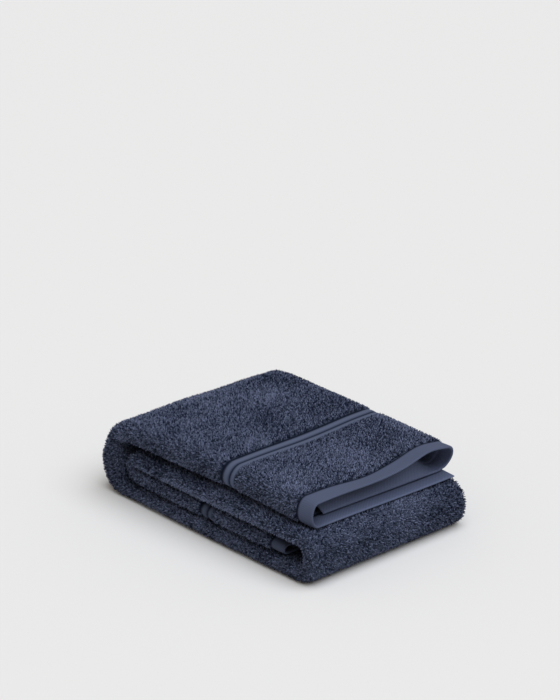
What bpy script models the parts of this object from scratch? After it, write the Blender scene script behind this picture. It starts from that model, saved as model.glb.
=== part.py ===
"""A terry bath towel, folded for a shelf.

The cloth is 0.70 by 1.40 m. It is folded in thirds across its width into a strip of three layers,
and the strip is folded over in four panels: the top panel turns down behind into the bottom panel,
which turns up in front into the inner upper panel, which turns down behind into the inner lower one.

+X runs along the hems, +Y away from the upper hem, +Z up. The origin is on the floor under the middle.
"""

import bmesh
import bpy
import numpy as np

# The cloth
CLOTH_WIDTH = 0.700
CLOTH_LENGTH = 1.400
TERRY = 0.0050
FLAT_WEAVE = 0.0030
END_HEM = 0.022
SIDE_HEM = 0.010
BAND_FROM_EDGE = 0.119
BAND_WIDTH = 0.023
EDGE_OF_PILE = 0.0015

# The strip's centre line: its height in each panel, and where it turns and ends
BOTTOM_Z = 0.01000
LOWER_Z = 0.03250
UPPER_Z = 0.05250
TOP_Z = 0.07350
OUTER_BEND_Y = 0.1470
OUTER_BEND_DEPTH = 0.01675
FRONT_BEND_Y = -0.1602
FRONT_BEND_DEPTH = 0.0160
LOOP_Y = 0.1203
LOOP_DEPTH = 0.0100
UPPER_HEM_Y = -0.168
INNER_HEM_Y = -0.138

# The strip's section
UNDER_EDGE = 0.003
RIGHT_FOLD_EXTRA = 0.001
RIGHT_DROP = 0.005
DROP_FROM_X = -0.12
DROP_TO_X = 0.12
DIP_X = -0.005
DIP_REACH = 0.045
CREST_X = 0.080
CREST_REACH = 0.030

# Mesh steps
UNDER_STEPS = 4
LEFT_FOLD_STEPS = 7
OUTER_STEPS = 9
RIGHT_FOLD_STEPS = 5
MIDDLE_STEPS = 6
RUN_STEPS = 8
BEND_STEPS = 9
CURVE_STEPS = 40

# How the section changes along the towel. "turn" counts the folds: 0 is the upper hem, 1 the outer
# bend behind, 2 the bend in front, 3 the inner loop and 4 the inner hem. "left" and "right" are the
# outermost places of the middle of the cloth. "under" and "over" are the distances from the middle
# layer to the layers below and above it. "reach" is how far the left fold bulges, "lean" how far its
# top stands in, "lift" and "tilt" move the strip and its right side outwards, and the outer layer sags by
# "dip" near its middle and rises by "crest" near its right fold.
FOLD_COLUMNS = (
    "turn", "left", "right", "under_left", "under_right", "over_left", "over_right",
    "reach", "lean", "lift", "tilt", "dip", "crest",
)
FOLD_ROWS = (
    (0.000, -0.1035, 0.1220, 0.0108, 0.0128, 0.0185, 0.0235, 0.0090, 0.000, -0.0010, 0.0030, 0.0025, 0.0080),
    (0.062, -0.1065, 0.1225, 0.0098, 0.0122, 0.0195, 0.0230, 0.0100, 0.001, -0.0005, 0.0030, 0.0065, 0.0060),
    (0.220, -0.1110, 0.1225, 0.0080, 0.0095, 0.0175, 0.0235, 0.0110, 0.003, 0.0040, 0.0000, 0.0040, 0.0020),
    (0.400, -0.1135, 0.1225, 0.0075, 0.0088, 0.0175, 0.0250, 0.0110, 0.005, 0.0055, -0.0010, 0.0010, 0.0010),
    (0.610, -0.1160, 0.1225, 0.0075, 0.0085, 0.0165, 0.0265, 0.0110, 0.005, 0.0060, -0.0015, -0.0005, 0.0000),
    (0.815, -0.1175, 0.1225, 0.0075, 0.0080, 0.0140, 0.0258, 0.0110, 0.004, 0.0060, -0.0020, -0.0010, 0.0010),
    (0.885, -0.1180, 0.1205, 0.0080, 0.0080, 0.0110, 0.0158, 0.0100, 0.003, 0.0030, -0.0020, -0.0020, 0.0010),
    (0.935, -0.1180, 0.1190, 0.0110, 0.0100, 0.0105, 0.0125, 0.0090, 0.002, 0.0000, 0.0000, -0.0015, 0.0010),
    (1.000, -0.1180, 0.1175, 0.0180, 0.0130, 0.0165, 0.0180, 0.0070, 0.000, 0.0000, 0.0000, -0.0010, 0.0000),
    (1.109, -0.1175, 0.1185, 0.0080, 0.0075, 0.0080, 0.0084, 0.0080, 0.000, 0.0000, -0.0010, 0.0000, 0.0000),
    (1.500, -0.1200, 0.1190, 0.0075, 0.0075, 0.0075, 0.0084, 0.0090, 0.000, 0.0000, -0.0010, 0.0000, 0.0000),
    (1.900, -0.1195, 0.1210, 0.0075, 0.0075, 0.0075, 0.0085, 0.0080, 0.000, 0.0000, -0.0010, 0.0000, 0.0000),
    (2.000, -0.1190, 0.1195, 0.0070, 0.0070, 0.0075, 0.0085, 0.0060, 0.000, 0.0000, 0.0000, 0.0000, 0.0000),
    (2.060, -0.1190, 0.1190, 0.0062, 0.0064, 0.0064, 0.0070, 0.0065, 0.000, -0.0006, 0.0000, 0.0000, 0.0000),
    (2.100, -0.1190, 0.1190, 0.0057, 0.0058, 0.0058, 0.0064, 0.0070, 0.000, -0.0012, 0.0000, 0.0000, 0.0000),
    (2.200, -0.1192, 0.1190, 0.0060, 0.0058, 0.0062, 0.0064, 0.0080, 0.002, -0.0008, 0.0000, 0.0000, 0.0000),
    (2.300, -0.1194, 0.1190, 0.0068, 0.0066, 0.0080, 0.0074, 0.0085, 0.004, 0.0000, 0.0000, 0.0000, 0.0000),
    (2.500, -0.1195, 0.1190, 0.0072, 0.0070, 0.0095, 0.0078, 0.0090, 0.005, 0.0000, 0.0000, 0.0000, 0.0000),
    (2.900, -0.1185, 0.1185, 0.0062, 0.0062, 0.0073, 0.0074, 0.0085, 0.003, 0.0000, 0.0000, 0.0000, 0.0000),
    (3.000, -0.1165, 0.1180, 0.0058, 0.0058, 0.0062, 0.0070, 0.0070, 0.000, 0.0000, 0.0000, 0.0000, 0.0000),
    (3.060, -0.1175, 0.1185, 0.0059, 0.0059, 0.0066, 0.0076, 0.0085, 0.000, 0.0000, 0.0000, 0.0000, 0.0000),
    (3.300, -0.1185, 0.1190, 0.0069, 0.0067, 0.0075, 0.0080, 0.0090, 0.000, 0.0000, -0.0008, 0.0000, 0.0000),
    (3.700, -0.1190, 0.1190, 0.0069, 0.0067, 0.0075, 0.0080, 0.0090, 0.000, 0.0010, -0.0014, 0.0000, 0.0000),
    (3.920, -0.1186, 0.1190, 0.0061, 0.0062, 0.0061, 0.0074, 0.0090, 0.000, 0.0015, -0.0014, 0.0000, 0.0000),
    (4.000, -0.1184, 0.1190, 0.0046, 0.0050, 0.0048, 0.0054, 0.0085, 0.000, 0.0022, -0.0010, 0.0000, 0.0000),
)

# The middle layer near the upper hem, whose end slopes down onto the under layer. "share" is how much
# of this there is, "fill" how much of the way from the under layer up to the outer one the middle
# layer stands, "setback" how far it lies behind them, and "tuck" how far its edge stays from the left
# fold. It stays clear of them by the two gaps, and rises to its place within FILL_START of the right
# fold.
MIDDLE_COLUMNS = ("turn", "share", "fill", "setback", "tuck")
MIDDLE_ROWS = (
    (0.000, 1.00, 0.00, 0.014, 0.020),
    (0.030, 1.00, 0.45, 0.013, 0.019),
    (0.062, 1.00, 0.90, 0.012, 0.017),
    (0.120, 1.00, 0.95, 0.010, 0.014),
    (0.260, 0.60, 0.60, 0.004, 0.008),
    (0.400, 0.00, 0.00, 0.000, 0.006),
)
UNDER_GAP = 0.0054
OUTER_GAP = 0.0062
FILL_START = 0.045

# Navy cotton
COTTON_COLOUR = (0.020, 0.029, 0.056, 1.0)
COTTON_ROUGHNESS = 0.95


def ease(start, end, value):
    """0 before start, 1 after end, easing between them."""
    t = np.clip((value - start) / (end - start), 0.0, 1.0)
    return t * t * (3.0 - 2.0 * t)


def bump(x, centre, reach):
    """A soft hump of height 1 at the centre."""
    return np.exp(-(((x - centre) / reach) ** 2))


def line(start, end, steps):
    """Evenly spaced points from start towards end, which is left to the next stretch."""
    t = np.linspace(0.0, 1.0, steps + 1)[:-1, None]
    return np.array(start) * (1.0 - t) + np.array(end) * t


def smooth_row(names, table, turn):
    """The table's values at a turn, on a smooth curve through its rows."""
    rows = np.array(table)
    turn = min(turn, rows[-1, 0])
    low = int(np.clip(np.searchsorted(rows[:, 0], turn, side="right") - 1, 0, len(rows) - 2))
    near = np.clip((low - 1, low, low + 1, low + 2), 0, len(rows) - 1)
    before, start, end, after = rows[near]
    span = end[0] - start[0]
    t = (turn - start[0]) / span
    slope_in = (end - before) * span / (end[0] - before[0])
    slope_out = (after - start) * span / (after[0] - start[0])
    row = (2 * t**3 - 3 * t**2 + 1) * start + (t**3 - 2 * t**2 + t) * slope_in
    row = row + (3 * t**2 - 2 * t**3) * end + (t**3 - t**2) * slope_out
    return dict(zip(names, row))


def fold_shape(turn):
    """The strip's section at a turn."""
    shape = smooth_row(FOLD_COLUMNS, FOLD_ROWS, turn)
    return shape | smooth_row(MIDDLE_COLUMNS, MIDDLE_ROWS, turn)


def bend(y, z_start, z_end, depth):
    """A half turn of the centre line between two heights: a round corner, an upright and a corner."""
    radius = abs(depth)
    drop = radius if z_start > z_end else -radius
    angle = np.linspace(0.0, np.pi / 2, CURVE_STEPS)
    first = np.column_stack((y + depth * np.sin(angle), z_start - drop * (1 - np.cos(angle))))
    last = np.column_stack((y + depth * np.cos(angle), z_end + drop * (1 - np.sin(angle))))
    return np.concatenate((first, last))


def centre_line():
    """The strip's centre line in the YZ plane, as runs and bends in turn from the upper hem."""
    return (
        line((UPPER_HEM_Y, TOP_Z), (OUTER_BEND_Y, TOP_Z), CURVE_STEPS),
        bend(OUTER_BEND_Y, TOP_Z, BOTTOM_Z, OUTER_BEND_DEPTH),
        line((OUTER_BEND_Y, BOTTOM_Z), (FRONT_BEND_Y, BOTTOM_Z), CURVE_STEPS)[1:],
        bend(FRONT_BEND_Y, BOTTOM_Z, UPPER_Z, -FRONT_BEND_DEPTH),
        line((FRONT_BEND_Y, UPPER_Z), (LOOP_Y, UPPER_Z), CURVE_STEPS)[1:],
        bend(LOOP_Y, UPPER_Z, LOWER_Z, LOOP_DEPTH),
        line((LOOP_Y, LOWER_Z), (INNER_HEM_Y, LOWER_Z), CURVE_STEPS)[1:],
        np.array(((INNER_HEM_Y, LOWER_Z),)),
    )


class Spine:
    """The centre line measured by its running length."""

    def __init__(self):
        pieces = centre_line()
        self.points = np.concatenate(pieces)
        steps = np.hypot(*np.diff(self.points, axis=0).T)
        self.running = np.concatenate(((0.0,), np.cumsum(steps)))
        counts = np.cumsum([len(piece) for piece in pieces])
        self.ends = np.concatenate(((0.0,), self.running[counts[:-1]]))
        middles = [(self.ends[i] + self.ends[i + 1]) / 2 for i in (1, 3, 5)]
        self.turns = np.array([0.0] + middles + [self.running[-1]])

    def turn(self, place):
        return float(np.interp(place, self.turns, np.arange(len(self.turns))))

    def at(self, place):
        """The point there, the way on along the strip and the way out of the folded pile."""
        near = np.array((place - EDGE_OF_PILE, place, place + EDGE_OF_PILE))
        y = np.interp(near, self.running, self.points[:, 0])
        z = np.interp(near, self.running, self.points[:, 1])
        way = np.array((y[2] - y[0], z[2] - z[0]))
        way /= np.hypot(*way)
        return np.array((y[1], z[1])), way, np.array((-way[1], way[0]))

    def stations(self):
        """Where the rows of the mesh lie: evenly on runs and bends, and at each woven step."""
        total = self.running[-1]
        woven = []
        for edge in (END_HEM, BAND_FROM_EDGE, BAND_FROM_EDGE + BAND_WIDTH):
            for step in (edge - EDGE_OF_PILE, edge + EDGE_OF_PILE):
                woven += [step, total - step]
        places = []
        for i in range(len(self.ends) - 1):
            steps = BEND_STEPS if i % 2 else RUN_STEPS
            places += list(np.linspace(self.ends[i], self.ends[i + 1], steps + 1)[:-1])
        places.append(total)
        clear = [p for p in places if min(abs(p - w) for w in woven) > 2 * EDGE_OF_PILE]
        return sorted(clear + woven)


def section(shape):
    """The middle of the cloth across the strip, from the under layer's edge to the tucked edge, as
    places along X, out of the strip and along it."""
    reach, lean = shape["reach"], shape["lean"]
    under = np.array((shape["under_left"], shape["under_right"]))
    over = np.array((shape["over_left"], shape["over_right"]))
    left_rise, right_rise = (over[0] + under[0]) / 2, over[1] / 2
    right_reach = right_rise + RIGHT_FOLD_EXTRA
    left_x, right_x = shape["left"] + reach, shape["right"] - right_reach
    left_angle = np.linspace(-np.pi / 2, np.pi / 2, LEFT_FOLD_STEPS + 1)[:-1]
    left_up = 1 + np.sin(left_angle)
    left_fold = np.column_stack((
        left_x - reach * np.cos(left_angle) + lean * (left_up / 2) ** 2,
        left_rise * left_up - under[0],
    ))
    right_angle = np.linspace(np.pi / 2, -np.pi / 2, RIGHT_FOLD_STEPS + 1)[:-1]
    right_fold = np.column_stack((
        right_x + right_reach * np.cos(right_angle),
        right_rise * (1 + np.sin(right_angle)),
    ))
    tucked_x = left_x + shape["tuck"]
    points = np.concatenate((
        line((shape["right"] - UNDER_EDGE, -under[1]), (left_x, -under[0]), UNDER_STEPS),
        left_fold,
        line((left_x + lean, over[0]), (right_x, over[1]), OUTER_STEPS),
        right_fold,
        line((right_x, 0.0), (tucked_x, 0.0), MIDDLE_STEPS),
        ((tucked_x, 0.0),),
    ))
    x, n = points.T
    wave = shape["crest"] * bump(x, CREST_X, CREST_REACH) - shape["dip"] * bump(x, DIP_X, DIP_REACH)
    upper = np.clip(n / over.max(), 0.0, 1.0)
    n = n + wave * upper
    fold_start = UNDER_STEPS + LEFT_FOLD_STEPS + OUTER_STEPS
    turned_in = np.zeros(len(x))
    turned_in[fold_start:] = np.clip(1.0 - n[fold_start:] / n[fold_start], 0.0, 1.0)
    floor = UNDER_GAP - np.interp(x, (left_x, right_x), under)
    outer = slice(UNDER_STEPS + LEFT_FOLD_STEPS, fold_start + 1)
    ceiling = np.interp(x, x[outer], n[outer]) - OUTER_GAP
    fill = shape["fill"] * ease(0.0, FILL_START, right_x - x)
    n = n + shape["share"] * turned_in * (floor + fill * (ceiling - floor))
    across = (x - shape["left"]) / (shape["right"] - shape["left"])
    n = n + shape["lift"] + shape["tilt"] * across
    return np.column_stack((x, n, shape["setback"] * turned_in))


def settled(points):
    """Lowers the right side, where the thin side hems lie, and flattens what rests on the floor."""
    x, y, z = points.T
    height = np.minimum(z, UPPER_Z) / UPPER_Z
    z = z - RIGHT_DROP * ease(DROP_FROM_X, DROP_TO_X, x) * height
    return np.column_stack((x, y, np.maximum(z, TERRY / 2)))


def terry_share(along, across):
    """1 where the cloth is terry, and 0 in the flat-woven hems and bands."""
    from_end = np.minimum(along, CLOTH_LENGTH - along)
    from_side = np.minimum(across, CLOTH_WIDTH - across)
    band_end = BAND_FROM_EDGE + BAND_WIDTH
    past_hem = ease(END_HEM - EDGE_OF_PILE, END_HEM + EDGE_OF_PILE, from_end)
    past_side = ease(SIDE_HEM - EDGE_OF_PILE, SIDE_HEM + EDGE_OF_PILE, from_side)
    into_band = ease(BAND_FROM_EDGE - EDGE_OF_PILE, BAND_FROM_EDGE + EDGE_OF_PILE, from_end)
    past_band = ease(band_end - EDGE_OF_PILE, band_end + EDGE_OF_PILE, from_end)
    return np.minimum(np.minimum(past_hem, past_side), 1.0 - into_band + past_band)


def folded_cloth():
    """Rows of points on the middle of the folded cloth, and the share of terry at each."""
    spine = Spine()
    total = spine.running[-1]
    rows, shares = [], []
    for place in spine.stations():
        middle = section(fold_shape(spine.turn(place)))
        point, on, out = spine.at(place)
        yz = point + middle[:, 1:2] * out + middle[:, 2:] * on
        rows.append(settled(np.column_stack((middle[:, 0], yz))))
        steps = np.hypot(*np.diff(middle[:, :2], axis=0).T)
        across = np.concatenate(((0.0,), np.cumsum(steps)))
        from_start = place if place < total / 2 else CLOTH_LENGTH - (total - place)
        shares.append(terry_share(from_start, across * CLOTH_WIDTH / across[-1]))
    rows = np.array(rows)
    low, high = rows.min(axis=(0, 1)), rows.max(axis=(0, 1))
    rows[:, :, :2] -= (low + high)[:2] / 2
    return rows, np.array(shares)


def cotton():
    material = bpy.data.materials.new("navy cotton terry")
    material.use_nodes = True
    shader = material.node_tree.nodes["Principled BSDF"]
    shader.inputs["Base Color"].default_value = COTTON_COLOUR
    shader.inputs["Roughness"].default_value = COTTON_ROUGHNESS
    shader.inputs["Metallic"].default_value = 0.0
    return material


def towel(collection):
    """The folded cloth: an open surface, given its thickness on both sides."""
    rows, shares = folded_cloth()
    sheet = bmesh.new()
    grid = [[sheet.verts.new(point) for point in row] for row in rows]
    for row, next_row in zip(grid, grid[1:]):
        for i in range(len(row) - 1):
            sheet.faces.new((row[i], row[i + 1], next_row[i + 1], next_row[i]))
    data = bpy.data.meshes.new("towel")
    sheet.to_mesh(data)
    sheet.free()
    data.shade_smooth()
    data.materials.append(cotton())
    thing = bpy.data.objects.new("towel", data)
    collection.objects.link(thing)
    terry = thing.vertex_groups.new(name="terry")
    for index, share in enumerate(shares.ravel()):
        terry.add((index,), float(share), "REPLACE")
    solid = thing.modifiers.new("thickness of the cloth", "SOLIDIFY")
    solid.thickness = TERRY
    solid.offset = 0.0
    solid.vertex_group = terry.name
    solid.thickness_vertex_group = FLAT_WEAVE / TERRY


def main():
    for old in list(bpy.data.objects):
        bpy.data.objects.remove(old, do_unlink=True)
    collection = bpy.data.collections.new("bath towel")
    bpy.context.scene.collection.children.link(collection)
    towel(collection)


main()
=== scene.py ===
"""A navy terry bath towel folded for a shelf: the fine cloth on its solid's folds, the pile's loops,
the flat-woven hems and bands, and a pale studio.

+X runs along the hems, +Y away from the upper hem, +Z up. Sizes are in metres.
"""

import bpy
import numpy as np
from mathutils import Matrix, Vector


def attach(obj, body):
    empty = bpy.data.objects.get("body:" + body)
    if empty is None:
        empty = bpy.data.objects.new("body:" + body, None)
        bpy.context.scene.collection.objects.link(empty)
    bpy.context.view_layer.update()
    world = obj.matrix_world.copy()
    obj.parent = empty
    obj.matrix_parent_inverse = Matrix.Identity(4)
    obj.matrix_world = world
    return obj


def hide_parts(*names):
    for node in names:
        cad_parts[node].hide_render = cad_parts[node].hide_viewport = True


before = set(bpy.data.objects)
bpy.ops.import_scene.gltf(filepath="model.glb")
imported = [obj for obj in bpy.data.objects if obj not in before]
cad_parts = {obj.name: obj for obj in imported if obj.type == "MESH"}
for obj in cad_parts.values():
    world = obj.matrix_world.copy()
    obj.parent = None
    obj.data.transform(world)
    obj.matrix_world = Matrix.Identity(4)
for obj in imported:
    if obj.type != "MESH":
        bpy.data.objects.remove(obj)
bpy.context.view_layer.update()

# The cloth
CLOTH_WIDTH = 0.700
CLOTH_LENGTH = 1.400
TERRY = 0.0050
FLAT_WEAVE = 0.0030
END_HEM = 0.022
SIDE_HEM = 0.010
BAND_FROM_EDGE = 0.119
BAND_WIDTH = 0.023
EDGE_OF_PILE = 0.0015

# The strip's centre line: its height in each panel, and where it turns and ends
BOTTOM_Z = 0.01000
LOWER_Z = 0.03250
UPPER_Z = 0.05250
TOP_Z = 0.07350
OUTER_BEND_Y = 0.1470
OUTER_BEND_DEPTH = 0.01675
FRONT_BEND_Y = -0.1602
FRONT_BEND_DEPTH = 0.0160
LOOP_Y = 0.1203
LOOP_DEPTH = 0.0100
UPPER_HEM_Y = -0.168
INNER_HEM_Y = -0.138

# The strip's section
UNDER_EDGE = 0.003
RIGHT_FOLD_EXTRA = 0.001
RIGHT_DROP = 0.005
DROP_FROM_X = -0.12
DROP_TO_X = 0.12
DIP_X = -0.005
DIP_REACH = 0.045
CREST_X = 0.080
CREST_REACH = 0.030

# Steps along the strip and across it, by how much of the cloth shows there
CURVE_STEPS = 120
FOLD_STEPS = 48
LONG_STEP = 0.0042
BEND_STEP = 0.0030
INNER_STEP = 0.0070
WOVEN_STEP = 0.0011
SHOWN_STEP = 0.0040
HIDDEN_STEP = 0.0095

# How the section changes along the towel. "turn" counts the folds: 0 is the upper hem, 1 the outer
# bend behind, 2 the bend in front, 3 the inner loop and 4 the inner hem. "left" and "right" are the
# outermost places of the middle of the cloth. "under" and "over" are the distances from the middle
# layer to the layers below and above it. "reach" is how far the left fold bulges, "lean" how far its
# top stands in, "lift" and "tilt" move the strip and its right side outwards, and the outer layer sags by
# "dip" near its middle and rises by "crest" near its right fold.
FOLD_COLUMNS = (
    "turn", "left", "right", "under_left", "under_right", "over_left", "over_right",
    "reach", "lean", "lift", "tilt", "dip", "crest",
)
FOLD_ROWS = (
    (0.000, -0.1035, 0.1220, 0.0108, 0.0128, 0.0185, 0.0235, 0.0090, 0.000, -0.0010, 0.0030, 0.0025, 0.0080),
    (0.062, -0.1065, 0.1225, 0.0098, 0.0122, 0.0195, 0.0230, 0.0100, 0.001, -0.0005, 0.0030, 0.0065, 0.0060),
    (0.220, -0.1110, 0.1225, 0.0080, 0.0095, 0.0175, 0.0235, 0.0110, 0.003, 0.0040, 0.0000, 0.0040, 0.0020),
    (0.400, -0.1135, 0.1225, 0.0075, 0.0088, 0.0175, 0.0250, 0.0110, 0.005, 0.0055, -0.0010, 0.0010, 0.0010),
    (0.610, -0.1160, 0.1225, 0.0075, 0.0085, 0.0165, 0.0265, 0.0110, 0.005, 0.0060, -0.0015, -0.0005, 0.0000),
    (0.815, -0.1175, 0.1225, 0.0075, 0.0080, 0.0140, 0.0258, 0.0110, 0.004, 0.0060, -0.0020, -0.0010, 0.0010),
    (0.885, -0.1180, 0.1205, 0.0080, 0.0080, 0.0110, 0.0158, 0.0100, 0.003, 0.0030, -0.0020, -0.0020, 0.0010),
    (0.935, -0.1180, 0.1190, 0.0110, 0.0100, 0.0105, 0.0125, 0.0090, 0.002, 0.0000, 0.0000, -0.0015, 0.0010),
    (1.000, -0.1180, 0.1175, 0.0180, 0.0130, 0.0165, 0.0180, 0.0070, 0.000, 0.0000, 0.0000, -0.0010, 0.0000),
    (1.109, -0.1175, 0.1185, 0.0080, 0.0075, 0.0080, 0.0084, 0.0080, 0.000, 0.0000, -0.0010, 0.0000, 0.0000),
    (1.500, -0.1200, 0.1190, 0.0075, 0.0075, 0.0075, 0.0084, 0.0090, 0.000, 0.0000, -0.0010, 0.0000, 0.0000),
    (1.900, -0.1195, 0.1210, 0.0075, 0.0075, 0.0075, 0.0085, 0.0080, 0.000, 0.0000, -0.0010, 0.0000, 0.0000),
    (2.000, -0.1190, 0.1195, 0.0070, 0.0070, 0.0075, 0.0085, 0.0060, 0.000, 0.0000, 0.0000, 0.0000, 0.0000),
    (2.060, -0.1190, 0.1190, 0.0062, 0.0064, 0.0064, 0.0070, 0.0065, 0.000, -0.0006, 0.0000, 0.0000, 0.0000),
    (2.100, -0.1190, 0.1190, 0.0057, 0.0058, 0.0058, 0.0064, 0.0070, 0.000, -0.0012, 0.0000, 0.0000, 0.0000),
    (2.200, -0.1192, 0.1190, 0.0060, 0.0058, 0.0062, 0.0064, 0.0080, 0.002, -0.0008, 0.0000, 0.0000, 0.0000),
    (2.300, -0.1194, 0.1190, 0.0068, 0.0066, 0.0080, 0.0074, 0.0085, 0.004, 0.0000, 0.0000, 0.0000, 0.0000),
    (2.500, -0.1195, 0.1190, 0.0072, 0.0070, 0.0095, 0.0078, 0.0090, 0.005, 0.0000, 0.0000, 0.0000, 0.0000),
    (2.900, -0.1185, 0.1185, 0.0062, 0.0062, 0.0073, 0.0074, 0.0085, 0.003, 0.0000, 0.0000, 0.0000, 0.0000),
    (3.000, -0.1165, 0.1180, 0.0058, 0.0058, 0.0062, 0.0070, 0.0070, 0.000, 0.0000, 0.0000, 0.0000, 0.0000),
    (3.060, -0.1175, 0.1185, 0.0059, 0.0059, 0.0066, 0.0076, 0.0085, 0.000, 0.0000, 0.0000, 0.0000, 0.0000),
    (3.300, -0.1185, 0.1190, 0.0069, 0.0067, 0.0075, 0.0080, 0.0090, 0.000, 0.0000, -0.0008, 0.0000, 0.0000),
    (3.700, -0.1190, 0.1190, 0.0069, 0.0067, 0.0075, 0.0080, 0.0090, 0.000, 0.0010, -0.0014, 0.0000, 0.0000),
    (3.920, -0.1186, 0.1190, 0.0061, 0.0062, 0.0061, 0.0074, 0.0090, 0.000, 0.0015, -0.0014, 0.0000, 0.0000),
    (4.000, -0.1184, 0.1190, 0.0046, 0.0050, 0.0048, 0.0054, 0.0085, 0.000, 0.0022, -0.0010, 0.0000, 0.0000),
)

# The middle layer near the upper hem, whose end slopes down onto the under layer. "share" is how much
# of this there is, "fill" how much of the way from the under layer up to the outer one the middle
# layer stands, "setback" how far it lies behind them, and "tuck" how far its edge stays from the left
# fold. It stays clear of them by the two gaps, and rises to its place within FILL_START of the right
# fold.
MIDDLE_COLUMNS = ("turn", "share", "fill", "setback", "tuck")
MIDDLE_ROWS = (
    (0.000, 1.00, 0.00, 0.014, 0.020),
    (0.030, 1.00, 0.45, 0.013, 0.019),
    (0.062, 1.00, 0.90, 0.012, 0.017),
    (0.120, 1.00, 0.95, 0.010, 0.014),
    (0.260, 0.60, 0.60, 0.004, 0.008),
    (0.400, 0.00, 0.00, 0.000, 0.006),
)
UNDER_GAP = 0.0054
OUTER_GAP = 0.0062
FILL_START = 0.045

# Creases and painted light and shade, each between two places on the cloth: a soft trough (rise under 0) or
# ridge, and how much lighter or darker the loops are painted there ("tone"). These are painted highlights on
# lit ridges and painted shade in creases, under overhangs and on shaded slopes. "along" is the distance from
# the upper hem along the strip, "round" the distance from the left fold towards the outer layer.
CREASE_COLUMNS = ("along", "round", "to_along", "to_round", "rise", "half_width", "tone")
CREASE_ROWS = (
    (0.332, -0.006, 0.288, 0.003, 0.0016, 0.0040, 0.10),
    (0.303, -0.005, 0.306, -0.017, -0.0020, 0.0030, -0.40),
    (0.060, 0.030, 0.100, 0.120, -0.0012, 0.0100, 0.00),
    (0.030, 0.150, 0.075, 0.195, 0.0012, 0.0080, 0.05),
    (0.300, -0.012, 0.335, -0.001, -0.0018, 0.0028, -0.35),
    (0.785, -0.005, 1.045, -0.005, 0.0010, 0.0040, 0.90),
    (0.780, 0.010, 1.045, 0.010, 0.0000, 0.0040, -0.20),
    (0.745, 0.020, 0.750, 0.060, 0.0000, 0.0160, 0.10),
    (0.330, -0.004, 0.385, 0.000, 0.0000, 0.0260, -0.13),
    (0.030, -0.011, 0.300, -0.011, 0.0000, 0.0020, 0.35),
    (0.318, 0.030, 0.312, 0.170, 0.0000, 0.0200, 0.08),
    (0.030, 0.208, 0.105, 0.206, 0.0000, 0.0140, -0.12),
    (0.075, 0.110, 0.105, 0.180, 0.0000, 0.0120, 0.08),
    (0.035, 0.020, 0.060, 0.050, 0.0000, 0.0120, 0.08),
    (0.150, 0.030, 0.200, 0.120, 0.0000, 0.0160, -0.05),
    (0.716, 0.045, 0.716, 0.120, 0.0000, 0.0120, 0.12),
    (0.725, 0.170, 0.745, 0.225, 0.0000, 0.0360, -0.20),
)

# The pile
LOOP_SPACING = 0.0020
LOOP_HEIGHT = 0.0022
LOOP_SPAN = 0.0019
LOOP_YARN = 0.00060
LOOP_ROOT = 0.0004
LOOP_LEAN = 0.0006
LOOP_JITTER = 0.30
PILE_DEPTH = 0.0014
PILE_PIECES = 4
MAP_FILL = 0.94
SEED = 7

# The woven band's two strips, by the distances of their middles from its edge nearer the hem, and the slots
# where the pile starts behind the band and the hem, which are painted dark as shadow, with their loops left
# out or painted darker
STRIP_MIDDLES = (0.0030, 0.0138)
STRIP_HALVES = (0.0038, 0.0046)
STRIP_RISE = 0.0007
SLOT_INSET = 0.0010
SLOT_HALF = 0.0017
SLOT_FILL = 1.8
BAND_SLOT_DEPTH = 0.0016
HEM_SLOT_DEPTH = 0.0008
HEM_SLOT_SHARE = 0.62
LOOP_FREE = 0.55

# How light the flat weave is painted: painted light on it inside the upper hem's folds, painted shade at the
# lower end and deeper painted shade inside its folds; and where across the cloth its middle layer begins and
# its under layer ends
INNER_PAINTED_LIGHT = 1.28
LOWER_END_PAINTED_SHADE = 0.58
HOLE_PAINTED_SHADE = 0.45
INNER_SHOWN = (0.47, 0.50)
UNDER_SHOWN = (0.19, 0.22)

# How far into the upper hem's opening the cloth's inner side looks smooth, in its right half
INNER_SMOOTH = 0.070

# Where the outer side of the terry shows
LEFT_FOLD_MIDDLE = 0.006
LEFT_FOLD_REACH = 0.030
RIGHT_SHOWN_X = 0.100
TOP_SHOWN_TURN = 1.13
FRONT_SHOWN = (1.87, 2.14)
FLOOR_CLEAR = 0.0040

# Colours
PILE_DARK = (0.006, 0.011, 0.028, 1.0)
PILE_LIGHT = (0.182, 0.215, 0.338, 1.0)
# The terry's ground: mottled by its knots, and darker than the loops' yarn as painted shade between the loops
PAINTED_SHADE_GROUND_DARK = (0.020, 0.027, 0.048, 1.0)
PAINTED_SHADE_GROUND_LIGHT = (0.078, 0.095, 0.150, 1.0)
SATIN_DARK = (0.064, 0.080, 0.134, 1.0)
SATIN_LIGHT = (0.084, 0.102, 0.168, 1.0)
STRIP_COLOUR = (0.083, 0.103, 0.165, 1.0)
# Painted shade in the band's grooves, between and beside its strips
GROOVE_PAINTED_SHADE = (0.009, 0.015, 0.036, 1.0)
# Painted shadow in the slots behind the band and the hem
SLOT_PAINTED_SHADOW = (0.002, 0.005, 0.016, 1.0)
SHEEN_COLOUR = (0.55, 0.62, 0.85, 1.0)
FLOOR_COLOUR = (0.77, 0.77, 0.77, 1.0)

# The studio
FLOOR_SIZE = 24.0
WORLD_COLOUR = (1.09, 1.0, 0.88, 1.0)
WORLD_STRENGTH = 0.37
SUN_FROM = (0.05, -0.40, 1.0)
SUN_STRENGTH = 2.38
SUN_ANGLE = 65.0
SUN_COLOUR = (0.955, 1.0, 1.065)

# The camera: the photograph's angle, and where the ground point under the towel lies in its frame
FRAME_PIXELS = (560, 700)
FOCAL_PIXELS = 3000
CAMERA_AZIMUTH = -42.6
CAMERA_ELEVATION = 22.3
AIM = (0.0, 0.0, 0.040)
AIM_PIXEL = (280.6, 474.5)
AIM_DISTANCE = 3.486
SENSOR_MM = 36.0


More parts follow.
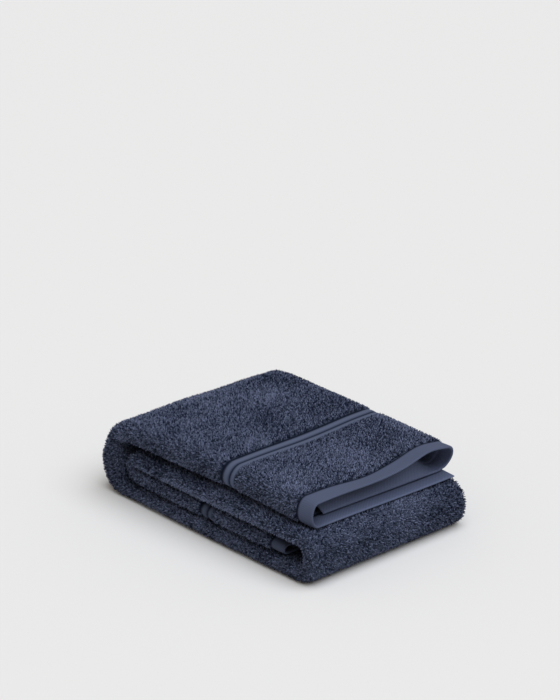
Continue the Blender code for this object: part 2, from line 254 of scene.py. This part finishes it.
def ease(start, end, value):
    """0 before start, 1 after end, easing between them."""
    t = np.clip((value - start) / (end - start), 0.0, 1.0)
    return t * t * (3.0 - 2.0 * t)


def bump(x, centre, reach):
    """A soft hump of height 1 at the centre."""
    return np.exp(-(((x - centre) / reach) ** 2))


def line(start, end, steps):
    """Evenly spaced points from start towards end, which is left to the next stretch."""
    t = np.linspace(0.0, 1.0, steps + 1)[:-1, None]
    return np.array(start) * (1.0 - t) + np.array(end) * t


def smooth_row(names, table, turn):
    """The table's values at a turn, on a smooth curve through its rows."""
    rows = np.array(table)
    turn = min(turn, rows[-1, 0])
    low = int(np.clip(np.searchsorted(rows[:, 0], turn, side="right") - 1, 0, len(rows) - 2))
    near = np.clip((low - 1, low, low + 1, low + 2), 0, len(rows) - 1)
    before, start, end, after = rows[near]
    span = end[0] - start[0]
    t = (turn - start[0]) / span
    slope_in = (end - before) * span / (end[0] - before[0])
    slope_out = (after - start) * span / (after[0] - start[0])
    row = (2 * t**3 - 3 * t**2 + 1) * start + (t**3 - 2 * t**2 + t) * slope_in
    row = row + (3 * t**2 - 2 * t**3) * end + (t**3 - t**2) * slope_out
    return dict(zip(names, row))


def fold_shape(turn):
    """The strip's section at a turn."""
    shape = smooth_row(FOLD_COLUMNS, FOLD_ROWS, turn)
    return shape | smooth_row(MIDDLE_COLUMNS, MIDDLE_ROWS, turn)


def bend(y, z_start, z_end, depth):
    """A half turn of the centre line between two heights: a round corner, an upright and a corner."""
    radius = abs(depth)
    drop = radius if z_start > z_end else -radius
    angle = np.linspace(0.0, np.pi / 2, CURVE_STEPS)
    first = np.column_stack((y + depth * np.sin(angle), z_start - drop * (1 - np.cos(angle))))
    last = np.column_stack((y + depth * np.cos(angle), z_end + drop * (1 - np.sin(angle))))
    return np.concatenate((first, last))


def centre_line():
    """The strip's centre line in the YZ plane, as runs and bends in turn from the upper hem."""
    return (
        line((UPPER_HEM_Y, TOP_Z), (OUTER_BEND_Y, TOP_Z), CURVE_STEPS),
        bend(OUTER_BEND_Y, TOP_Z, BOTTOM_Z, OUTER_BEND_DEPTH),
        line((OUTER_BEND_Y, BOTTOM_Z), (FRONT_BEND_Y, BOTTOM_Z), CURVE_STEPS)[1:],
        bend(FRONT_BEND_Y, BOTTOM_Z, UPPER_Z, -FRONT_BEND_DEPTH),
        line((FRONT_BEND_Y, UPPER_Z), (LOOP_Y, UPPER_Z), CURVE_STEPS)[1:],
        bend(LOOP_Y, UPPER_Z, LOWER_Z, LOOP_DEPTH),
        line((LOOP_Y, LOWER_Z), (INNER_HEM_Y, LOWER_Z), CURVE_STEPS)[1:],
        np.array(((INNER_HEM_Y, LOWER_Z),)),
    )


class Spine:
    """The centre line measured by its running length."""

    def __init__(self):
        pieces = centre_line()
        self.points = np.concatenate(pieces)
        steps = np.hypot(*np.diff(self.points, axis=0).T)
        self.running = np.concatenate(((0.0,), np.cumsum(steps)))
        counts = np.cumsum([len(piece) for piece in pieces])
        self.ends = np.concatenate(((0.0,), self.running[counts[:-1]]))
        self.total = self.running[-1]
        middles = [(self.ends[i] + self.ends[i + 1]) / 2 for i in (1, 3, 5)]
        self.turns = np.array([0.0] + middles + [self.total])

    def turn(self, place):
        return np.interp(place, self.turns, np.arange(len(self.turns)))

    def at(self, place):
        """The point there, the way on along the strip and the way out of the folded pile."""
        near = np.array((place - EDGE_OF_PILE, place, place + EDGE_OF_PILE))
        y = np.interp(near, self.running, self.points[:, 0])
        z = np.interp(near, self.running, self.points[:, 1])
        way = np.array((y[2] - y[0], z[2] - z[0]))
        way /= np.hypot(*way)
        return np.array((y[1], z[1])), way, np.array((-way[1], way[0]))

    def stations(self):
        """Where the rows of the mesh lie: closer at the bends and where the weave changes."""
        woven = []
        for start, end in (
            (0.0, END_HEM + 2 * EDGE_OF_PILE),
            (BAND_FROM_EDGE - 2 * EDGE_OF_PILE, BAND_FROM_EDGE + BAND_WIDTH + 2 * EDGE_OF_PILE),
        ):
            woven += list(np.linspace(start, end, int((end - start) / WOVEN_STEP)))
        steps = (LONG_STEP, BEND_STEP, 1.5 * LONG_STEP, BEND_STEP, INNER_STEP, BEND_STEP, INNER_STEP)
        places = []
        for start, end, step in zip(self.ends, self.ends[1:], steps):
            places += list(np.linspace(start, end, int(round((end - start) / step)) + 1)[:-1])
        woven = np.array(woven + [self.total - place for place in woven])
        clear = [p for p in places if np.abs(woven - p).min() > WOVEN_STEP]
        return np.sort(np.concatenate((clear, woven)))


def section(shape):
    """The middle of the cloth across the strip, from the under layer's edge to the tucked edge, as
    places along X, out of the strip and along it."""
    reach, lean = shape["reach"], shape["lean"]
    under = np.array((shape["under_left"], shape["under_right"]))
    over = np.array((shape["over_left"], shape["over_right"]))
    left_rise, right_rise = (over[0] + under[0]) / 2, over[1] / 2
    right_reach = right_rise + RIGHT_FOLD_EXTRA
    left_x, right_x = shape["left"] + reach, shape["right"] - right_reach
    left_angle = np.linspace(-np.pi / 2, np.pi / 2, FOLD_STEPS + 1)[:-1]
    left_up = 1 + np.sin(left_angle)
    left_fold = np.column_stack((
        left_x - reach * np.cos(left_angle) + lean * (left_up / 2) ** 2,
        left_rise * left_up - under[0],
    ))
    right_angle = np.linspace(np.pi / 2, -np.pi / 2, FOLD_STEPS + 1)[:-1]
    right_fold = np.column_stack((
        right_x + right_reach * np.cos(right_angle),
        right_rise * (1 + np.sin(right_angle)),
    ))
    tucked_x = left_x + shape["tuck"]
    points = np.concatenate((
        line((shape["right"] - UNDER_EDGE, -under[1]), (left_x, -under[0]), CURVE_STEPS),
        left_fold,
        line((left_x + lean, over[0]), (right_x, over[1]), CURVE_STEPS),
        right_fold,
        line((right_x, 0.0), (tucked_x, 0.0), CURVE_STEPS),
        ((tucked_x, 0.0),),
    ))
    x, n = points.T
    wave = shape["crest"] * bump(x, CREST_X, CREST_REACH) - shape["dip"] * bump(x, DIP_X, DIP_REACH)
    upper = np.clip(n / over.max(), 0.0, 1.0)
    n = n + wave * upper
    fold_start = 2 * CURVE_STEPS + FOLD_STEPS
    turned_in = np.zeros(len(x))
    turned_in[fold_start:] = np.clip(1.0 - n[fold_start:] / n[fold_start], 0.0, 1.0)
    floor = UNDER_GAP - np.interp(x, (left_x, right_x), under)
    outer = slice(CURVE_STEPS + FOLD_STEPS, fold_start + 1)
    ceiling = np.interp(x, x[outer], n[outer]) - OUTER_GAP
    fill = shape["fill"] * ease(0.0, FILL_START, right_x - x)
    n = n + shape["share"] * turned_in * (floor + fill * (ceiling - floor))
    across = (x - shape["left"]) / (shape["right"] - shape["left"])
    n = n + shape["lift"] + shape["tilt"] * across
    return np.column_stack((x, n, shape["setback"] * turned_in))


def settled(points):
    """Lowers the right side, where the thin side hems lie, and flattens what rests on the floor."""
    x, y, z = np.moveaxis(points, -1, 0)
    height = np.minimum(z, UPPER_Z) / UPPER_Z
    z = z - RIGHT_DROP * ease(DROP_FROM_X, DROP_TO_X, x) * height
    return np.stack((x, y, np.maximum(z, TERRY / 2)), axis=-1)


def columns():
    """Where the mesh's columns lie across the cloth, from 0 to 1."""
    stretches = (
        (0.000, 0.014, WOVEN_STEP), (0.014, 0.190, HIDDEN_STEP), (0.190, 0.505, SHOWN_STEP),
        (0.505, 0.686, HIDDEN_STEP), (0.686, 0.700, WOVEN_STEP),
    )
    places = [np.linspace(a, b, int(round((b - a) / step)) + 1)[:-1] for a, b, step in stretches]
    return np.concatenate(places + [(CLOTH_WIDTH,)]) / CLOTH_WIDTH


def terry_share(along, across):
    """1 where the cloth is terry, and 0 in the flat-woven hems and bands."""
    from_end = np.minimum(along, CLOTH_LENGTH - along)
    from_side = np.minimum(across, CLOTH_WIDTH - across)
    band_end = BAND_FROM_EDGE + BAND_WIDTH
    past_hem = ease(END_HEM - EDGE_OF_PILE, END_HEM + EDGE_OF_PILE, from_end)
    past_side = ease(SIDE_HEM - EDGE_OF_PILE, SIDE_HEM + EDGE_OF_PILE, from_side)
    into_band = ease(BAND_FROM_EDGE - EDGE_OF_PILE, BAND_FROM_EDGE + EDGE_OF_PILE, from_end)
    past_band = ease(band_end - EDGE_OF_PILE, band_end + EDGE_OF_PILE, from_end)
    return np.minimum(np.minimum(past_hem, past_side), 1.0 - into_band + past_band)


def crease_rise_and_painted_light(along, around):
    """How far the creases push the cloth out of the strip at each place, and the painted light and shade they
    put on the loops.
    """
    rise, tone = np.zeros_like(along), np.zeros_like(along)
    for row in CREASE_ROWS:
        crease = dict(zip(CREASE_COLUMNS, row))
        start = np.array((crease["along"], crease["round"]))
        way = np.array((crease["to_along"], crease["to_round"])) - start
        length = np.hypot(*way)
        way /= length
        u, v = along - start[0], around - start[1]
        t = (u * way[0] + v * way[1]) / length
        off = -u * way[1] + v * way[0]
        fade = bump(np.clip(t, 0.0, 1.0) - t, 0.0, 0.25) * np.sin(np.pi * np.clip(t, 0.08, 0.92)) ** 0.5
        fade = fade * bump(off, 0.0, crease["half_width"])
        rise += crease["rise"] * fade
        tone += crease["tone"] * fade
    return rise, tone


class Cloth:
    """The folded cloth as a grid: its middle, the way out of it, its weave and its thickness."""

    def __init__(self):
        spine = Spine()
        self.places = spine.stations()
        self.fractions = columns()
        rows, lefts = [], []
        for place in self.places:
            fine = section(fold_shape(spine.turn(place)))
            steps = np.hypot(*np.diff(fine[:, :2], axis=0).T)
            running = np.concatenate(((0.0,), np.cumsum(steps)))
            at = self.fractions * running[-1]
            x, n, shift = (np.interp(at, running, values) for values in fine.T)
            point, on, out = spine.at(place)
            yz = point + n[:, None] * out + shift[:, None] * on
            rows.append(np.column_stack((x, yz)))
            lefts.append(running[np.argmin(fine[:, 0])] / running[-1])
        self.middle = settled(np.array(rows))
        shape = self.middle.shape[:2]
        half = self.places < spine.total / 2
        along = np.where(half, self.places, CLOTH_LENGTH - (spine.total - self.places))
        self.along = np.broadcast_to(along[:, None], shape)
        self.place = np.broadcast_to(self.places[:, None], shape)
        self.turn = spine.turn(self.place)
        self.across = np.broadcast_to(self.fractions * CLOTH_WIDTH, shape)
        self.around = self.across - np.array(lefts)[:, None] * CLOTH_WIDTH
        self.terry = terry_share(self.along, self.across)
        self.out = self.normals()
        # The creases' rises, and their painted light and shade on the loops
        rise, self.tone = crease_rise_and_painted_light(self.place, self.around)
        self.middle = self.middle + self.out * rise[..., None]
        low, high = self.middle.min(axis=(0, 1)), self.middle.max(axis=(0, 1))
        self.middle[..., :2] -= (low + high)[:2] / 2
        self.out = self.normals()

    def normals(self):
        """Unit vectors that point out of the strip from its outer layer and folds."""
        down = np.gradient(self.middle, self.places, axis=0)
        over = np.gradient(self.middle, self.fractions * CLOTH_WIDTH, axis=1)
        out = np.cross(over, down)
        return out / np.linalg.norm(out, axis=-1, keepdims=True)


def new_mesh(name, points, quads, material):
    """A mesh from arrays of points and of four corners a face."""
    data = bpy.data.meshes.new(name)
    data.vertices.add(len(points))
    data.vertices.foreach_set("co", points.astype(np.float32).ravel())
    data.loops.add(quads.size)
    data.loops.foreach_set("vertex_index", quads.astype(np.int32).ravel())
    data.polygons.add(len(quads))
    data.polygons.foreach_set("loop_start", np.arange(0, quads.size, 4, dtype=np.int32))
    data.update(calc_edges=True)
    data.validate()
    data.shade_smooth()
    data.materials.append(material)
    thing = bpy.data.objects.new(name, data)
    bpy.context.scene.collection.objects.link(thing)
    return thing


def grid_quads(first, rows, cols, flip):
    """Corners of the faces of a grid whose points start at first."""
    r, c = np.meshgrid(np.arange(rows - 1), np.arange(cols - 1), indexing="ij")
    corner = first + (r * cols + c).ravel()
    quads = np.stack((corner, corner + 1, corner + cols + 1, corner + cols), axis=1)
    return quads[:, ::-1] if flip else quads


def rim_quads(rows, cols):
    """Faces that close the outer and inner grids round their edge."""
    top = np.concatenate((
        np.arange(cols),
        np.arange(1, rows) * cols + cols - 1,
        (rows - 1) * cols + np.arange(cols - 2, -1, -1),
        np.arange(rows - 2, 0, -1) * cols,
    ))
    after = np.roll(top, -1)
    below = rows * cols
    return np.stack((top, after, after + below, top + below), axis=1)


def edge_roundness(cloth, half):
    """How much of its thickness the cloth keeps near its free edges, which are rolled and sewn."""
    total = cloth.places[-1]
    from_end = np.minimum(cloth.place, total - cloth.place)
    from_side = np.minimum(cloth.across, CLOTH_WIDTH - cloth.across)
    nearest = np.clip(np.minimum(from_end, from_side) / half, 0.0, 1.0)
    return np.sqrt(np.clip(1.0 - (1.0 - nearest) ** 2, 0.04, 1.0))


def strips(along):
    """0 to 1 over the rounded strips of the woven band."""
    from_hem = np.minimum(along, CLOTH_LENGTH - along) - BAND_FROM_EDGE
    offs = [(from_hem - middle) / half for middle, half in zip(STRIP_MIDDLES, STRIP_HALVES)]
    return np.max([np.sqrt(np.clip(1.0 - off**2, 0.0, 1.0)) for off in offs], axis=0)


def slots(along):
    """0 to 1 in the slots behind the band and the hem, each with its depth; the 0 to 1 share is also how much
    painted shadow the slot gets and where its loops are left out.
    """
    from_end = np.minimum(along, CLOTH_LENGTH - along)
    behind_band = bump(from_end, BAND_FROM_EDGE + BAND_WIDTH - SLOT_INSET, SLOT_HALF)
    behind_hem = bump(from_end, END_HEM, SLOT_HALF)
    depth = BAND_SLOT_DEPTH * behind_band + HEM_SLOT_DEPTH * behind_hem
    share = np.maximum(behind_band, HEM_SLOT_SHARE * behind_hem)
    return np.minimum(SLOT_FILL * share, 1.0), depth


def loops_share(cloth):
    """1 where the outer side of the terry shows and carries real loops, and 0 where it is hidden."""
    turn, around, across = cloth.turn, cloth.around, cloth.across
    x = cloth.middle[..., 0]
    near_left = np.abs(around - LEFT_FOLD_MIDDLE) < LEFT_FOLD_REACH
    near_right = (x > RIGHT_SHOWN_X) & (across > 0.30) & (across < 0.53)
    outer = (around > 0.0) & (across < 0.53) & (x < 0.2)
    top = outer & (across < 0.49) & (turn < TOP_SHOWN_TURN)
    front = outer & (across < 0.49) & (turn > FRONT_SHOWN[0]) & (turn < FRONT_SHOWN[1])
    shown = (near_left | near_right | top | front) & (cloth.terry > 0.6)
    on_floor = (cloth.middle[..., 2] < FLOOR_CLEAR) & (cloth.out[..., 2] < -0.5)
    return (shown & ~on_floor).astype(float)


def towel_sheet(cloth, pile, material):
    """The cloth itself: a closed thin sheet, lower where real loops stand on it."""
    thick = FLAT_WEAVE + (TERRY - FLAT_WEAVE) * cloth.terry
    half = thick / 2 * edge_roundness(cloth, FLAT_WEAVE / 2)
    strip = strips(cloth.along)
    slot, slot_depth = slots(cloth.along)
    relief = STRIP_RISE * strip * (1 - cloth.terry) - slot_depth
    outer = cloth.middle + cloth.out * (half + relief - PILE_DEPTH * pile * cloth.terry)[..., None]
    inner = cloth.middle - cloth.out * (half + relief)[..., None]
    rows, cols = half.shape
    points = np.concatenate((outer.reshape(-1, 3), inner.reshape(-1, 3)))
    quads = np.concatenate((
        grid_quads(0, rows, cols, True),
        grid_quads(rows * cols, rows, cols, False),
        rim_quads(rows, cols),
    ))
    thing = new_mesh("towel_cloth", points, quads, material)
    weave = np.stack((cloth.across, cloth.along, cloth.terry), axis=-1)
    end_hem = np.minimum(cloth.along, CLOTH_LENGTH - cloth.along) < (END_HEM + BAND_FROM_EDGE) / 2
    hem = end_hem | (np.minimum(cloth.across, CLOTH_WIDTH - cloth.across) < SIDE_HEM + EDGE_OF_PILE)
    relief = np.stack((slot, strip, hem), axis=-1)
    turned_in = np.maximum(ease(*INNER_SHOWN, cloth.across), 1 - ease(*UNDER_SHOWN, cloth.across))
    upper_end = cloth.place < cloth.places[-1] / 2
    # Painted light on the flat weave inside the upper hem's folds, painted shade on it at the lower end and
    # deeper painted shade inside the lower end's folds
    inner_painted_light_and_shade = np.where(upper_end, INNER_PAINTED_LIGHT, HOLE_PAINTED_SHADE)
    painted_light_and_shade = np.where(upper_end, 1.0, LOWER_END_PAINTED_SHADE) * (1 + (inner_painted_light_and_shade - 1) * turned_in)
    painted_light_and_shade = np.stack((painted_light_and_shade,) * 3, axis=-1)
    smooth = (upper_end & (cloth.along < INNER_SMOOTH) & (cloth.middle[..., 0] > 0.0))[..., None]
    inner_weave = np.where(smooth, weave * (1, 1, 0), weave)
    inner_relief = np.where(smooth, relief * (0, 1, 1), relief)
    sides = (("weave", weave, inner_weave), ("relief", relief, inner_relief), ("painted_light_and_shade", painted_light_and_shade, painted_light_and_shade))
    for name, outer_side, inner_side in sides:
        both_sides = np.concatenate((outer_side.reshape(-1, 3), inner_side.reshape(-1, 3)))
        places = thing.data.attributes.new(name, "FLOAT_VECTOR", "POINT")
        places.data.foreach_set("vector", both_sides.astype(np.float32).ravel())
    return thing


def scatter(cloth, pile, random):
    """Places of the loops in grid rows and columns: even rows of the weave, each a little off."""
    rows = np.arange(0.0, cloth.places[-1], LOOP_SPACING * 0.866)
    cols = np.arange(0.0, CLOTH_WIDTH, LOOP_SPACING)
    place, across = np.meshgrid(rows, cols, indexing="ij")
    across = across + (np.arange(len(rows)) % 2)[:, None] * LOOP_SPACING / 2
    place = place + random.normal(0.0, LOOP_JITTER * LOOP_SPACING, place.shape)
    across = across + random.normal(0.0, LOOP_JITTER * LOOP_SPACING, place.shape)
    place, across = place.ravel(), across.ravel()
    row = np.interp(place, cloth.places, np.arange(len(cloth.places)))
    col = np.interp(across, cloth.fractions * CLOTH_WIDTH, np.arange(len(cloth.fractions)))
    shown = pile[row.round().astype(int), col.round().astype(int)] > 0.5
    slot = slots(sampled(cloth.along, row, col))[0]
    keep = shown & (sampled(cloth.terry, row, col) > 0.75) & (slot < LOOP_FREE)
    return row[keep], col[keep]


def sampled(grid, row, col):
    """The grid's value between its points."""
    r = np.clip(row.astype(int), 0, grid.shape[0] - 2)
    c = np.clip(col.astype(int), 0, grid.shape[1] - 2)
    u, v = row - r, col - c
    if grid.ndim > 2:
        u, v = u[:, None], v[:, None]
    low = grid[r, c] * (1 - v) + grid[r, c + 1] * v
    high = grid[r + 1, c] * (1 - v) + grid[r + 1, c + 1] * v
    return low * (1 - u) + high * u


def unit(vectors):
    return vectors / np.linalg.norm(vectors, axis=-1, keepdims=True)


def loop_points(cloth, row, col, random):
    """Nine points of each loop: three-sided rings round its two feet and its top."""
    count = len(row)
    out = unit(sampled(cloth.out, row, col))
    thick = FLAT_WEAVE + (TERRY - FLAT_WEAVE) * sampled(cloth.terry, row, col)
    base = sampled(cloth.middle, row, col) + out * (thick / 2 - PILE_DEPTH)[:, None]
    warp = unit(sampled(np.gradient(cloth.middle, axis=0), row, col))
    side = unit(np.cross(out, warp))
    angle = random.uniform(0.0, np.pi, count)[:, None]
    ahead = warp * np.cos(angle) + side * np.sin(angle)
    beside = np.cross(out, ahead)
    span = LOOP_SPAN * random.uniform(0.75, 1.25, count)[:, None] / 2
    height = LOOP_HEIGHT * random.uniform(0.7, 1.3, count)[:, None]
    lean = LOOP_LEAN * random.normal(0.0, 1.0, (2, count, 1))
    yarn = LOOP_YARN * random.uniform(0.85, 1.2, count)[:, None]
    top = base + out * height + ahead * lean[0] + beside * lean[1]
    rings = []
    for foot in (-1.0, 0.0, 1.0):
        if foot:
            centre = base + ahead * span * foot - out * LOOP_ROOT
            across_yarn = ahead * foot
        else:
            centre = top
            across_yarn = out
        rings += [
            centre + across_yarn * yarn,
            centre + beside * yarn * 0.87 - across_yarn * yarn * 0.5,
            centre - beside * yarn * 0.87 - across_yarn * yarn * 0.5,
        ]
    return np.stack(rings, axis=1)


def pile_piece(name, points, tones_and_painted_light, material):
    """A joined mesh of many loops."""
    count = len(points)
    ring = np.array([
        (k, (k + 1) % 3, 3 + (k + 1) % 3, 3 + k) for k in range(3)
    ])
    quads = np.concatenate((ring, ring + 3))
    faces = (quads[None] + 9 * np.arange(count)[:, None, None]).reshape(-1, 4)
    thing = new_mesh(name, points.reshape(-1, 3), faces, material)
    # The loops' tones, which carry their painted light and shade
    tone = thing.data.attributes.new("tone", "FLOAT", "POINT")
    tone.data.foreach_set("value", np.repeat(tones_and_painted_light, 9).astype(np.float32))
    cells = int(np.ceil(np.sqrt(count)))
    turns, heights = np.array((0.0, 1.0, 1.0, 0.0)) / 3, np.array((0.0, 0.0, 1.0, 1.0)) / 2
    in_cell = np.array([
        np.column_stack((turns + k / 3, heights + half / 2)) for half in (0, 1) for k in range(3)
    ]) * MAP_FILL
    corner = np.column_stack((np.arange(count) % cells, np.arange(count) // cells))
    places = (corner[:, None, None, :] + in_cell[None]) / cells
    thing.data.uv_layers.new(name="OFBake").data.foreach_set("uv", places.astype(np.float32).ravel())
    return thing


def nodes_of(material):
    material.use_nodes = True
    tree = material.node_tree
    return tree, tree.nodes, tree.nodes["Principled BSDF"]


def plain(name, colour, roughness):
    material = bpy.data.materials.new(name)
    shader = nodes_of(material)[2]
    shader.inputs["Base Color"].default_value = colour
    shader.inputs["Roughness"].default_value = roughness
    return material


def cotton_shine(shader, roughness, sheen):
    shader.inputs["Roughness"].default_value = roughness
    shader.inputs["Specular IOR Level"].default_value = 0.06
    shader.inputs["Sheen Weight"].default_value = sheen
    shader.inputs["Sheen Roughness"].default_value = 0.5
    shader.inputs["Sheen Tint"].default_value = SHEEN_COLOUR


def linked(tree, kind, inputs, outputs=(), **settings):
    """A new shader node with its settings, its inputs' values or links, and its named outputs."""
    node = tree.nodes.new(kind)
    for name, value in settings.items():
        setattr(node, name, value)
    for key, value in inputs.items():
        if isinstance(value, bpy.types.NodeSocket):
            tree.links.new(value, node.inputs[key])
        else:
            node.inputs[key].default_value = value
    found = tuple(node.outputs[name] for name in outputs) if outputs else (node.outputs[0],)
    return found if len(found) > 1 else found[0]


def attribute(tree, name, output="Vector"):
    return linked(tree, "ShaderNodeAttribute", {}, (output,), attribute_name=name)


def noise(tree, vector, scale, detail):
    return linked(tree, "ShaderNodeTexNoise", {"Vector": vector, "Scale": scale, "Detail": detail}, ("Fac",))


def maths(tree, operation, *values):
    return linked(tree, "ShaderNodeMath", dict(enumerate(values)), operation=operation)


def mixed(tree, factor, first, second):
    """The second colour over the first by the factor."""
    return linked(
        tree, "ShaderNodeMix", {"Factor": factor, "A": first, "B": second}, ("Result",), data_type="RGBA",
    )


def ramp(tree, factor, low, high, low_colour, high_colour):
    colours = tree.nodes.new("ShaderNodeValToRGB")
    for element, position, colour in zip(colours.color_ramp.elements, (low, high), (low_colour, high_colour)):
        element.position = position
        element.color = colour
    tree.links.new(factor, colours.inputs["Fac"])
    return colours.outputs["Color"]


def pile_material():
    """Loop yarn: navy, lighter or darker from loop to loop, in small clumps and in broad patches, with
    painted shadow near the band's and hem's slots and the creases' painted light and shade.
    """
    material = bpy.data.materials.new("pile yarn")
    tree, nodes, shader = nodes_of(material)
    cotton_shine(shader, 0.9, 0.05)
    place = linked(tree, "ShaderNodeTexCoord", {}, ("Object",))
    clumps = noise(tree, place, 430.0, 1.0)
    patches = noise(tree, place, 16.0, 2.0)
    tone = maths(tree, "MULTIPLY_ADD", attribute(tree, "tone", "Fac"), 0.70, -0.35)
    tone = maths(tree, "MULTIPLY_ADD", clumps, 1.5, tone)
    tone = maths(tree, "MULTIPLY_ADD", patches, 0.9, tone)
    tone = maths(tree, "SUBTRACT", tone, 0.73)
    colour = ramp(tree, tone, 0.15, 0.95, PILE_DARK, PILE_LIGHT)
    tree.links.new(colour, shader.inputs["Base Color"])
    return material


def cloth_material():
    """The ground of the terry, darker than the yarn as painted shade between its loops, and, where the weave
    is flat, a satin twill; with painted shadow in the slots, painted shade in the band's grooves, and painted
    light and shade on the flat weave in the hems' folds.
    """
    material = bpy.data.materials.new("cloth ground and flat weave")
    tree, nodes, shader = nodes_of(material)
    cotton_shine(shader, 0.75, 0.05)
    weave = attribute(tree, "weave")
    terry = linked(tree, "ShaderNodeSeparateXYZ", {"Vector": weave}, ("Z",))
    slot, strip, hem = linked(
        tree, "ShaderNodeSeparateXYZ", {"Vector": attribute(tree, "relief")}, ("X", "Y", "Z"),
    )
    place = linked(tree, "ShaderNodeTexCoord", {}, ("Object",))
    knots = noise(tree, place, 420.0, 2.0)
    # The terry's ground, darker than the yarn as painted shade between the loops
    ground = ramp(tree, knots, 0.35, 0.7, PAINTED_SHADE_GROUND_DARK, PAINTED_SHADE_GROUND_LIGHT)
    threads = linked(
        tree, "ShaderNodeTexWave", {"Vector": weave, "Scale": 260.0, "Distortion": 0.6}, ("Fac",),
        wave_type="BANDS", bands_direction="DIAGONAL",
    )
    satin = ramp(tree, threads, 0.0, 1.0, SATIN_DARK, SATIN_LIGHT)
    # The band's strips, with painted shade in the grooves between and beside them
    band = mixed(tree, strip, GROOVE_PAINTED_SHADE, STRIP_COLOUR)
    colour = mixed(tree, hem, band, satin)
    # Painted light and shade on the flat weave, from the sheet's attribute
    painted_light_and_shade = attribute(tree, "painted_light_and_shade", "Fac")
    colour = linked(tree, "ShaderNodeVectorMath", {0: colour, "Scale": painted_light_and_shade}, operation="SCALE")
    colour = mixed(tree, terry, colour, ground)
    # Painted shadow in the slots behind the band and the hem
    colour = mixed(tree, slot, colour, SLOT_PAINTED_SHADOW)
    tree.links.new(colour, shader.inputs["Base Color"])
    low = maths(tree, "MULTIPLY", threads, 0.05)
    flat_part = maths(tree, "MULTIPLY", low, maths(tree, "SUBTRACT", 1.0, terry))
    relief = maths(tree, "MULTIPLY_ADD", knots, terry, flat_part)
    normal = linked(
        tree, "ShaderNodeBump", {"Strength": 0.8, "Distance": 0.0015, "Height": relief}, ("Normal",),
    )
    tree.links.new(normal, shader.inputs["Normal"])
    return material


def camera():
    """The photograph's camera: its angle, and the aim point on its pixel of the frame."""
    azimuth, elevation = np.radians((CAMERA_AZIMUTH, CAMERA_ELEVATION))
    back = Vector((
        np.sin(azimuth) * np.cos(elevation), -np.cos(azimuth) * np.cos(elevation), np.sin(elevation),
    ))
    right = Vector((np.cos(azimuth), np.sin(azimuth), 0.0))
    up = back.cross(right)
    aside = (AIM_PIXEL[0] - FRAME_PIXELS[0] / 2) / FOCAL_PIXELS * AIM_DISTANCE
    above = (FRAME_PIXELS[1] / 2 - AIM_PIXEL[1]) / FOCAL_PIXELS * AIM_DISTANCE
    data = bpy.data.cameras.new("camera")
    data.sensor_width = SENSOR_MM
    data.lens = FOCAL_PIXELS / FRAME_PIXELS[1] * SENSOR_MM
    thing = bpy.data.objects.new("camera", data)
    bpy.context.scene.collection.objects.link(thing)
    place = Vector(AIM) - right * aside - up * above + back * AIM_DISTANCE
    thing.matrix_world = Matrix.Translation(place) @ Matrix((right, up, back)).transposed().to_4x4()
    bpy.context.scene.camera = thing


def softbox(name, source, strength, angle):
    """A far, wide and soft light that shines from a direction."""
    data = bpy.data.lights.new(name, "SUN")
    data.energy = strength
    data.color = SUN_COLOUR
    data.angle = np.radians(angle)
    thing = bpy.data.objects.new(name, data)
    thing.rotation_euler = Vector(source).to_track_quat("Z", "Y").to_euler()
    bpy.context.scene.collection.objects.link(thing)


def studio():
    """A pale floor, a wide soft light from above, a little to the right, and a pale surround."""
    half = FLOOR_SIZE / 2
    corners = np.array(((-half, -half, 0.0), (half, -half, 0.0), (half, half, 0.0), (-half, half, 0.0)))
    floor = new_mesh("floor", corners, np.array(((0, 1, 2, 3),)), plain("pale floor", FLOOR_COLOUR, 0.9))
    world = bpy.data.worlds.new("pale surround")
    bpy.context.scene.world = world
    world.use_nodes = True
    world.node_tree.nodes["Background"].inputs["Color"].default_value = WORLD_COLOUR
    world.node_tree.nodes["Background"].inputs["Strength"].default_value = WORLD_STRENGTH
    bpy.context.scene.view_settings.view_transform = "Standard"
    softbox("overhead light", SUN_FROM, SUN_STRENGTH, SUN_ANGLE)


def main():
    random = np.random.default_rng(SEED)
    cloth = Cloth()
    pile = loops_share(cloth)
    sheet = towel_sheet(cloth, pile, cloth_material())
    row, col = scatter(cloth, pile, random)
    points = loop_points(cloth, row, col, random)
    # The loops' tones: random from loop to loop, painted darker as shadow in and beside the slots, plus the
    # creases' painted light and shade
    tones_and_painted_light = random.uniform(0.0, 1.0, len(points)) - 2.0 * slots(sampled(cloth.along, row, col))[0]
    tones_and_painted_light = tones_and_painted_light + sampled(cloth.tone, row, col)
    share = np.array_split(np.arange(len(points)), PILE_PIECES)
    yarn = pile_material()
    piles = []
    for number, part in enumerate(share):
        piles.append(pile_piece(f"pile_{number + 1}", points[part], tones_and_painted_light[part], yarn))
    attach(sheet, "root")
    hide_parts("towel")
    for piece in piles:
        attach(piece, "root")
    camera()
    studio()


main()
